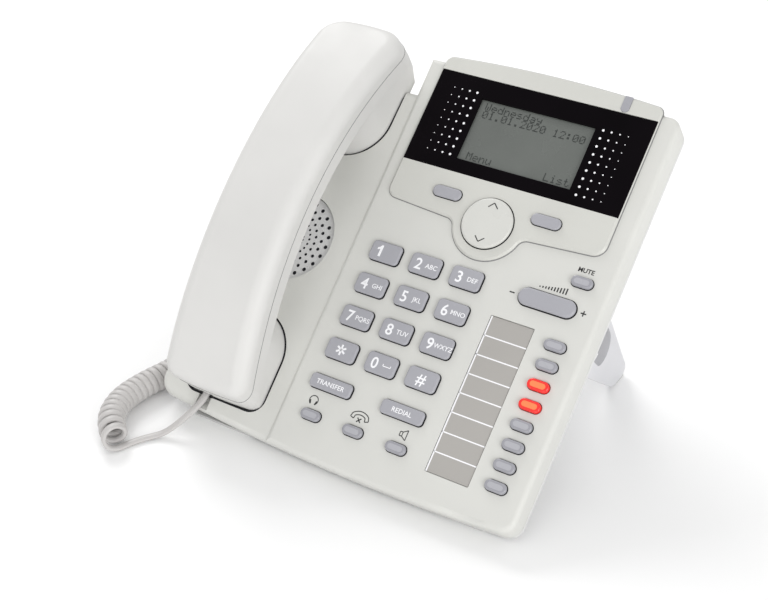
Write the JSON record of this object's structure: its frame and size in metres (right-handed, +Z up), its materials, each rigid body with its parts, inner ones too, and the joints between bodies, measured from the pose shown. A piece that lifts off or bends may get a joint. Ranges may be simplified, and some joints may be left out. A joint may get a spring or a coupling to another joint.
{
  "type": "desk telephone",
  "caption": "Corded desk IP telephone: sloped console on a clip-on stand with keypad, display, rocker keys, and a handset with a curly cord.",
  "frame": {"origin": "middle of the footprint on the desk, under the console and its stand, without the cord", "axes": "+X to the right seen from the user, +Y away from the user towards the display end, +Z up"},
  "size_m": [0.2137, 0.2155, 0.158],
  "materials": {
    "housing_plastic": "fine matt moulded grain, warm off-white",
    "hood_plastic": "satin moulded, warm off-white",
    "key_plastic": "satin grey, white printed digits",
    "window_plastic": "glossy near black",
    "lcd_glass": "grey-green liquid crystal cell",
    "lamp_plastic": "frosted translucent",
    "label_paper": "grey-beige fields with white lines",
    "label_film": "clear film",
    "circuit_board": "green solder mask",
    "mat_rubber": "moulded silicone",
    "socket_plastic": "black moulded",
    "inlet_plastic": "black moulded",
    "grille_plastic": "satin moulded",
    "speaker_paper": "black cone",
    "plunger_plastic": "smooth moulded",
    "switch_plastic": "black moulded",
    "handset_plastic": "smooth satin moulded",
    "transducer_metal": "plain metal can",
    "foot_rubber": "soft grey",
    "screw_steel": "zinc plated",
    "cord_plastic": "smooth flexible sleeve",
    "plug_plastic": "clear moulded plug"
  },
  "bodies": {
    "console": {"top_cover": "housing_plastic", "base_cover": "housing_plastic", "screws": "screw_steel", "display_hood": "hood_plastic", "display_window": "window_plastic", "lcd_module": "lcd_glass", "message_lamp_lens": "lamp_plastic", "label_card": "label_paper", "label_cover": "label_film", "keypad_mat": "mat_rubber", "main_board": "circuit_board", "network_board": "circuit_board", "sockets": "socket_plastic", "power_inlet": "inlet_plastic", "speaker_grille": "grille_plastic", "loudspeaker": "speaker_paper", "hook_microswitch": "switch_plastic", "stand": "housing_plastic", "rubber_feet": "foot_rubber", "cord_coil": "cord_plastic", "cord_tail": "cord_plastic", "cord_lead": "cord_plastic", "console_plug": "plug_plastic"},
    "key_1": {"key_1": "key_plastic"},
    "key_2": {"key_2": "key_plastic"},
    "key_3": {"key_3": "key_plastic"},
    "key_4": {"key_4": "key_plastic"},
    "key_5": {"key_5": "key_plastic"},
    "key_6": {"key_6": "key_plastic"},
    "key_7": {"key_7": "key_plastic"},
    "key_8": {"key_8": "key_plastic"},
    "key_9": {"key_9": "key_plastic"},
    "key_star": {"key_star": "key_plastic"},
    "key_0": {"key_0": "key_plastic"},
    "key_hash": {"key_hash": "key_plastic"},
    "transfer_key": {"transfer_key": "key_plastic"},
    "redial_key": {"redial_key": "key_plastic"},
    "headset_key": {"headset_key": "key_plastic"},
    "cancel_key": {"cancel_key": "key_plastic"},
    "speaker_key": {"speaker_key": "key_plastic"},
    "mute_key": {"mute_key": "key_plastic"},
    "program_key_1": {"program_key_1": "key_plastic"},
    "program_key_2": {"program_key_2": "key_plastic"},
    "program_key_3": {"program_key_3": "key_plastic"},
    "program_key_4": {"program_key_4": "key_plastic"},
    "program_key_5": {"program_key_5": "key_plastic"},
    "program_key_6": {"program_key_6": "key_plastic"},
    "program_key_7": {"program_key_7": "key_plastic"},
    "program_key_8": {"program_key_8": "key_plastic"},
    "soft_key_left": {"soft_key_left": "key_plastic"},
    "soft_key_right": {"soft_key_right": "key_plastic"},
    "nav_rocker": {"nav_rocker": "hood_plastic"},
    "volume_rocker": {"volume_rocker": "key_plastic"},
    "hook_plunger": {"hook_plunger": "plunger_plastic"},
    "handset": {"handset_back_shell": "handset_plastic", "handset_front_shell": "handset_plastic", "handset_receiver": "transducer_metal", "handset_microphone": "transducer_metal", "handset_jack": "socket_plastic", "handset_plug": "plug_plastic"}
  },
  "joints": [
    {"name": "key_1_press", "type": "slide", "parent": "console", "child": "key_1", "axis": [0, 0.6428, -0.766], "range_m": [0, 0.0012], "stiffness_N_per_m": 220, "springref_m": -0.0015},
    {"name": "key_2_press", "type": "slide", "parent": "console", "child": "key_2", "axis": [0, 0.6428, -0.766], "range_m": [0, 0.0012], "stiffness_N_per_m": 220, "springref_m": -0.0015},
    {"name": "key_3_press", "type": "slide", "parent": "console", "child": "key_3", "axis": [0, 0.6428, -0.766], "range_m": [0, 0.0012], "stiffness_N_per_m": 220, "springref_m": -0.0015},
    {"name": "key_4_press", "type": "slide", "parent": "console", "child": "key_4", "axis": [0, 0.6428, -0.766], "range_m": [0, 0.0012], "stiffness_N_per_m": 220, "springref_m": -0.0015},
    {"name": "key_5_press", "type": "slide", "parent": "console", "child": "key_5", "axis": [0, 0.6428, -0.766], "range_m": [0, 0.0012], "stiffness_N_per_m": 220, "springref_m": -0.0015},
    {"name": "key_6_press", "type": "slide", "parent": "console", "child": "key_6", "axis": [0, 0.6428, -0.766], "range_m": [0, 0.0012], "stiffness_N_per_m": 220, "springref_m": -0.0015},
    {"name": "key_7_press", "type": "slide", "parent": "console", "child": "key_7", "axis": [0, 0.6428, -0.766], "range_m": [0, 0.0012], "stiffness_N_per_m": 220, "springref_m": -0.0015},
    {"name": "key_8_press", "type": "slide", "parent": "console", "child": "key_8", "axis": [0, 0.6428, -0.766], "range_m": [0, 0.0012], "stiffness_N_per_m": 220, "springref_m": -0.0015},
    {"name": "key_9_press", "type": "slide", "parent": "console", "child": "key_9", "axis": [0, 0.6428, -0.766], "range_m": [0, 0.0012], "stiffness_N_per_m": 220, "springref_m": -0.0015},
    {"name": "key_star_press", "type": "slide", "parent": "console", "child": "key_star", "axis": [0, 0.6428, -0.766], "range_m": [0, 0.0012], "stiffness_N_per_m": 220, "springref_m": -0.0015},
    {"name": "key_0_press", "type": "slide", "parent": "console", "child": "key_0", "axis": [0, 0.6428, -0.766], "range_m": [0, 0.0012], "stiffness_N_per_m": 220, "springref_m": -0.0015},
    {"name": "key_hash_press", "type": "slide", "parent": "console", "child": "key_hash", "axis": [0, 0.6428, -0.766], "range_m": [0, 0.0012], "stiffness_N_per_m": 220, "springref_m": -0.0015},
    {"name": "transfer_key_press", "type": "slide", "parent": "console", "child": "transfer_key", "axis": [0, 0.6428, -0.766], "range_m": [0, 0.0012], "stiffness_N_per_m": 220, "springref_m": -0.0015},
    {"name": "redial_key_press", "type": "slide", "parent": "console", "child": "redial_key", "axis": [0, 0.6428, -0.766], "range_m": [0, 0.0012], "stiffness_N_per_m": 220, "springref_m": -0.0015},
    {"name": "headset_key_press", "type": "slide", "parent": "console", "child": "headset_key", "axis": [0, 0.6428, -0.766], "range_m": [0, 0.0012], "stiffness_N_per_m": 220, "springref_m": -0.0015},
    {"name": "cancel_key_press", "type": "slide", "parent": "console", "child": "cancel_key", "axis": [0, 0.6428, -0.766], "range_m": [0, 0.0012], "stiffness_N_per_m": 220, "springref_m": -0.0015},
    {"name": "speaker_key_press", "type": "slide", "parent": "console", "child": "speaker_key", "axis": [0, 0.6428, -0.766], "range_m": [0, 0.0012], "stiffness_N_per_m": 220, "springref_m": -0.0015},
    {"name": "mute_key_press", "type": "slide", "parent": "console", "child": "mute_key", "axis": [0, 0.6428, -0.766], "range_m": [0, 0.0012], "stiffness_N_per_m": 220, "springref_m": -0.0015},
    {"name": "program_key_1_press", "type": "slide", "parent": "console", "child": "program_key_1", "axis": [0, 0.6428, -0.766], "range_m": [0, 0.0012], "stiffness_N_per_m": 220, "springref_m": -0.0015},
    {"name": "program_key_2_press", "type": "slide", "parent": "console", "child": "program_key_2", "axis": [0, 0.6428, -0.766], "range_m": [0, 0.0012], "stiffness_N_per_m": 220, "springref_m": -0.0015},
    {"name": "program_key_3_press", "type": "slide", "parent": "console", "child": "program_key_3", "axis": [0, 0.6428, -0.766], "range_m": [0, 0.0012], "stiffness_N_per_m": 220, "springref_m": -0.0015},
    {"name": "program_key_4_press", "type": "slide", "parent": "console", "child": "program_key_4", "axis": [0, 0.6428, -0.766], "range_m": [0, 0.0012], "stiffness_N_per_m": 220, "springref_m": -0.0015},
    {"name": "program_key_5_press", "type": "slide", "parent": "console", "child": "program_key_5", "axis": [0, 0.6428, -0.766], "range_m": [0, 0.0012], "stiffness_N_per_m": 220, "springref_m": -0.0015},
    {"name": "program_key_6_press", "type": "slide", "parent": "console", "child": "program_key_6", "axis": [0, 0.6428, -0.766], "range_m": [0, 0.0012], "stiffness_N_per_m": 220, "springref_m": -0.0015},
    {"name": "program_key_7_press", "type": "slide", "parent": "console", "child": "program_key_7", "axis": [0, 0.6428, -0.766], "range_m": [0, 0.0012], "stiffness_N_per_m": 220, "springref_m": -0.0015},
    {"name": "program_key_8_press", "type": "slide", "parent": "console", "child": "program_key_8", "axis": [0, 0.6428, -0.766], "range_m": [0, 0.0012], "stiffness_N_per_m": 220, "springref_m": -0.0015},
    {"name": "soft_key_left_press", "type": "slide", "parent": "console", "child": "soft_key_left", "axis": [0, 0.6428, -0.766], "range_m": [0, 0.0012], "stiffness_N_per_m": 220, "springref_m": -0.0015},
    {"name": "soft_key_right_press", "type": "slide", "parent": "console", "child": "soft_key_right", "axis": [0, 0.6428, -0.766], "range_m": [0, 0.0012], "stiffness_N_per_m": 220, "springref_m": -0.0015},
    {"name": "nav_rocker_tilt", "type": "hinge", "parent": "console", "child": "nav_rocker", "pos_m": [0.0298, 0.01566, 0.09219], "axis": [1, 0, 0], "range_deg": [-2.5, 2.5], "stiffness_Nm_per_rad": 0.6},
    {"name": "volume_rocker_tilt", "type": "hinge", "parent": "console", "child": "volume_rocker", "pos_m": [0.071, -0.00471, 0.07509], "axis": [0, 0.766, 0.6428], "range_deg": [-2.2, 2.2], "stiffness_Nm_per_rad": 0.6},
    {"name": "handset_lift", "type": "slide", "parent": "console", "child": "handset", "axis": [0, -0.6428, 0.766], "range_m": [0, 0.08], "deforming": ["cord_tail"]},
    {"name": "hook_plunger_rise", "type": "slide", "parent": "console", "child": "hook_plunger", "axis": [0, -0.6428, 0.766], "range_m": [0, 0.0025]}
  ],
  "couplings": [
    {"joint": "hook_plunger_rise", "follows": "handset_lift", "ratio": 0.03125}
  ]
}
